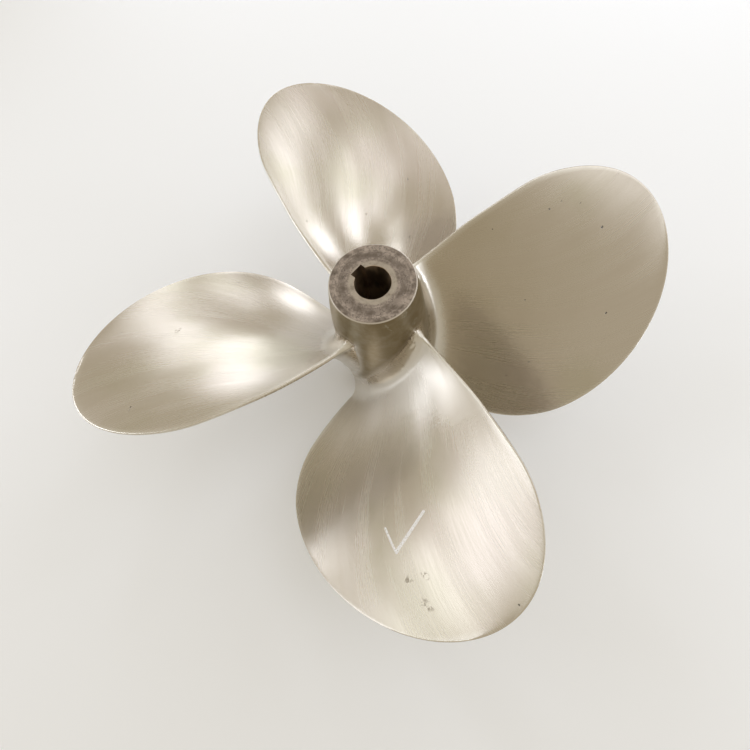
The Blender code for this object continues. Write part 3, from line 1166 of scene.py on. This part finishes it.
bored, tree, shader = new_material("bored_hole")
solid = add_node(tree, "ShaderNodeTexCoord").outputs["Object"]
turns = noise_on(tree, solid, (6, 6, 900), 2.0)
grease = noise_on(tree, solid, (40, 40, 14), 4.0, 0.6)
colour = mix_colours(tree, between(tree, grease, 0.35, 0.65), BORE_DARK, BORE_BROWN)
tree.links.new(colour, shader.inputs["Base Color"])
tree.links.new(bump(tree, turns, TURN_DEPTH), shader.inputs["Normal"])
tree.links.new(between(tree, grease, 0.3, 0.7, 0.40, 0.6), shader.inputs["Roughness"])
shader.inputs["Metallic"].default_value = 1.0
print("the bore has", len(tree.nodes), "nodes")

# %% [markdown]
# ## Which face is finished how
# One casting has three finishes, so it carries three material slots, and each face is given one by
# where its middle is: within a little of the bore's wall, on one of the two ends, or anywhere else.
# Then the finished casting is tied to the frame by what it rides on, and the plain part of the frame is
# hidden.

# %% Which face is finished how
BORE_MARGIN = 0.012
END_SKIN = 0.0002
GROUND, TURNED, BORED = 0, 1, 2


def finish_of(face):
    """Material slot of a face, by where its middle is."""
    r = math.hypot(face.center.x, face.center.y)
    z = face.center.z
    if r < bore_radius(z) + BORE_MARGIN and END_SKIN < z < HUB_LENGTH - END_SKIN:
        return BORED
    at_aft_end = z > HUB_LENGTH - HUB_CHAMFER and r < HUB_AFT_RADIUS
    at_forward_end = z < HUB_CHAMFER and r < HUB_FORWARD_RADIUS
    return TURNED if at_aft_end or at_forward_end else GROUND


casting.data.materials.clear()
for finish in (bronze, faced, bored):
    casting.data.materials.append(finish)
slots = [finish_of(face) for face in casting.data.polygons]
casting.data.polygons.foreach_set("material_index", slots)
print("faces ground, turned and bored:", [slots.count(slot) for slot in (GROUND, TURNED, BORED)])
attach(casting, "root")
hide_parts("propeller")

# %% [markdown]
# ## Floor
# The propeller stands on its forward face, as it does in the foundry's yard. A plain sheet of
# white paper carries it here, so that its underside gets soft light back from below.

# %% The floor
FLOOR_SIDE = 12.0
FLOOR_DROP = 0.0006
PAPER_WHITE = (0.93, 0.95, 0.985, 1)
PAPER_ROUGHNESS = 0.8

deselect_all()
bpy.ops.mesh.primitive_plane_add(size=FLOOR_SIDE, location=(0, 0, -FLOOR_DROP))
floor = bpy.context.object
floor.name = "studio_floor"
paper, tree, shader = new_material("pale_floor")
shader.inputs["Base Color"].default_value = PAPER_WHITE
shader.inputs["Roughness"].default_value = PAPER_ROUGHNESS
floor.data.materials.append(paper)
floor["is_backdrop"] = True
print("the sheet is", FLOOR_SIDE, "m square")

# %% [markdown]
# ## Light
# Bare metal shows whatever stands round it. Tall soft boxes stand in a ring about the casting, like
# the windows of a hall, in up to three tiers: low, middle and high. Each one shows in the blades
# as a soft bright band, and the waves of the grinding make the bands wander. Few stand in front
# on the right, so the right blade stays dark. The lamps are a little cool and the dim room between
# them a little warm, so the highlights turn white and the shadows brown.

# %% The lamps
LAMP_TINT = (0.93, 1.0, 1.15)
RING_RADIUS = 3.0
BOX_WIDTH = 0.5
TIERS = {"low": (0.05, 0.95), "middle": (0.95, 2.05), "high": (2.05, 3.90)}
SOFT_BOXES = {
    "low": ((50, 4.1), (68, 4.3), (101, 3.4), (112, 2.8), (172, 4.1), (184, 6.0), (330, 6.0)),
    "middle": ((0, 5.1), (27, 5.0), (50, 2.4), (79, 2.7), (101, 2.8)),
    "high": ((13, 4.0), (27, 5.3), (50, 6.1), (90, 7.2), (136, 12.0), (160, 5.7), (172, 6.6)),
}
OVERHEAD_PLACE = (1.08, 0.0, 3.58)
OVERHEAD_SIZE, OVERHEAD_WATTS = 1.5, 8.0


def soft_lamp(name, place, facing, size, watts):
    """A soft rectangle of light, size wide and high, that shines against facing."""
    bpy.ops.object.light_add(type="AREA", location=place)
    lamp = bpy.context.object
    lamp.name = name
    lamp.data.shape = "RECTANGLE"
    lamp.data.size, lamp.data.size_y = size
    lamp.data.energy = watts
    lamp.data.color = LAMP_TINT
    lamp.rotation_euler = Vector(facing).to_track_quat("Z", "Y").to_euler()
    lamp.visible_camera = False


for tier, boxes in SOFT_BOXES.items():
    foot, top = TIERS[tier]
    for bearing, watts in boxes:
        away = Vector((math.cos(math.radians(bearing)), math.sin(math.radians(bearing)), 0))
        place = away * RING_RADIUS + Vector((0, 0, (foot + top) / 2))
        soft_lamp(f"soft_box_{tier}_{bearing}", place, away, (BOX_WIDTH, top - foot), watts)
soft_lamp("overhead", OVERHEAD_PLACE, OVERHEAD_PLACE, (OVERHEAD_SIZE, OVERHEAD_SIZE), OVERHEAD_WATTS)
print(sum(len(boxes) for boxes in SOFT_BOXES.values()), "soft boxes and one lamp overhead")

# %% The dim room between them
ROOM_LIGHT = 0.64
ROOM_TINT = (1.0, 0.91, 0.74, 1)

world = bpy.data.worlds.new("studio")
bpy.context.scene.world = world
world.use_nodes = True
room = world.node_tree.nodes["Background"]
room.inputs["Color"].default_value = ROOM_TINT
room.inputs["Strength"].default_value = ROOM_LIGHT
print("the room shines at", ROOM_LIGHT, "of full white")

# %% [markdown]
# ## Camera
# The picture is taken from close above the hub with a wide lens, a little in front of it, so the
# near end face looks large and the blades fan out below it. The shift slides the picture on the
# sensor, which keeps the whole casting in a square frame without turning the camera.

# %% The camera
CAMERA_PLACE = (0.06218, -0.42159, 1.26563)
CAMERA_TURN = (21.446, 3.826, -3.066)
LENS, SENSOR = 22.84, 36
SHIFT = (-0.020, -0.0507)

bpy.ops.object.camera_add(location=CAMERA_PLACE, rotation=[math.radians(turn) for turn in CAMERA_TURN])
camera = bpy.context.object
camera.data.lens = LENS
camera.data.sensor_width = SENSOR
camera.data.shift_x, camera.data.shift_y = SHIFT
camera.data.clip_start = 0.05
bpy.context.scene.camera = camera
bpy.context.scene.view_settings.view_transform = "Standard"
print("the camera is", round(math.dist(CAMERA_PLACE, (0, 0, HUB_LENGTH)), 2), "m from the hub's end face")

# %% [markdown]
# ## The end
# Last, the box of the dressed casting is measured beside the box of the plain one.

# %% The end
dressed_low, dressed_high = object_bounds()
boxes = {"cad": [list(cad_low), list(cad_high)], "dressed": [list(dressed_low), list(dressed_high)]}
print("dressed box", [round(side * 1000, 1) for side in dressed_high - dressed_low], "mm")
